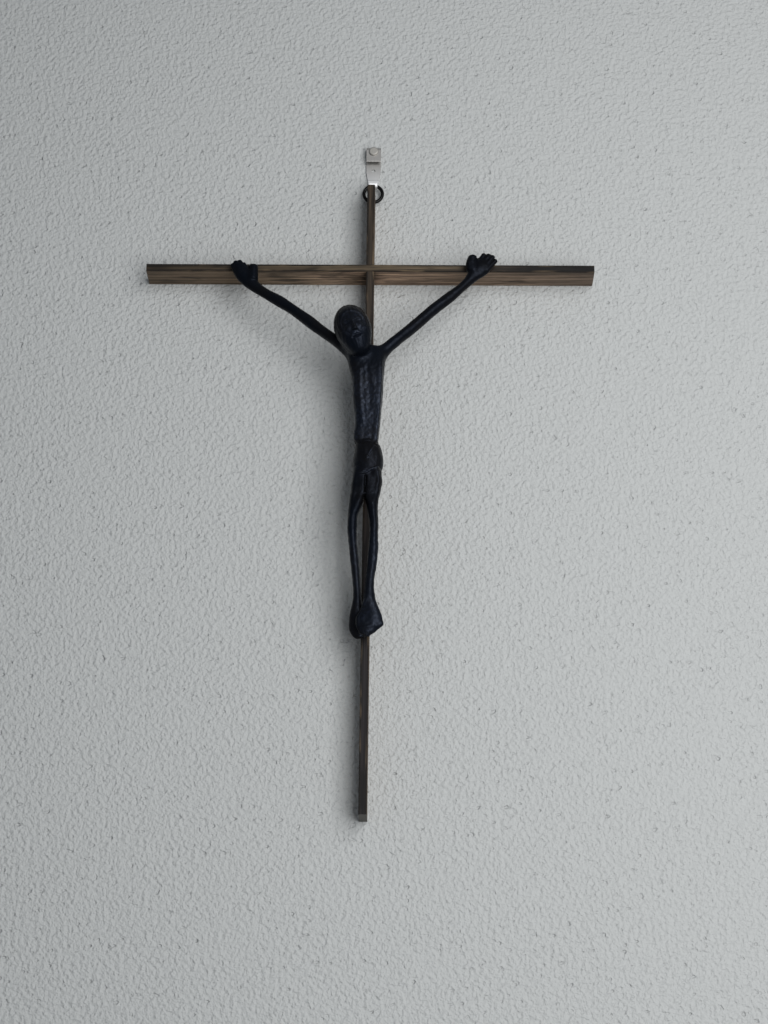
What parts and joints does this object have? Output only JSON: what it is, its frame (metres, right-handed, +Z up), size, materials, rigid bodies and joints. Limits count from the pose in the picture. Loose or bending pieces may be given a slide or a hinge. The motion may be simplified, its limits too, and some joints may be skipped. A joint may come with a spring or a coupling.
{
  "type": "wall crucifix",
  "caption": "Wall crucifix: slender half-lapped wooden cross with an elongated dark cast figure, hung by a wire ring on a folded steel picture hook.",
  "frame": {"origin": "on the wall plane, on the upright's back face behind the middle of the crossing", "axes": "+X to the viewer's right along the crossbar, +Y into the wall, +Z up along the upright"},
  "size_m": [0.29, 0.0761, 0.4571],
  "materials": {
    "stained_oak": "stained and worn, low sheen",
    "black_casting": "black patina, satin",
    "screw_steel": "zinc plated",
    "black_wire": "black, satin",
    "plated_steel": "nickel plated, satin"
  },
  "bodies": {
    "wall_fixing": {"wall_hook": "plated_steel", "hook_nail": "plated_steel"},
    "ring": {"hanger_ring": "black_wire"},
    "cross": {"upright": "stained_oak", "crossbar": "stained_oak", "corpus": "black_casting", "left_hand_screw": "screw_steel", "right_hand_screw": "screw_steel", "foot_screw": "screw_steel"}
  },
  "joints": [
    {"name": "ring_rock", "type": "hinge", "parent": "wall_fixing", "child": "ring", "pos_m": [0.001, -0.0035, 0.0691], "axis": [-1, 0, 0], "range_deg": [0, 60]},
    {"name": "cross_swing", "type": "hinge", "parent": "ring", "child": "cross", "pos_m": [0.001, -0.0035, 0.063], "axis": [0, 1, 0], "range_deg": [-40, 40]}
  ]
}
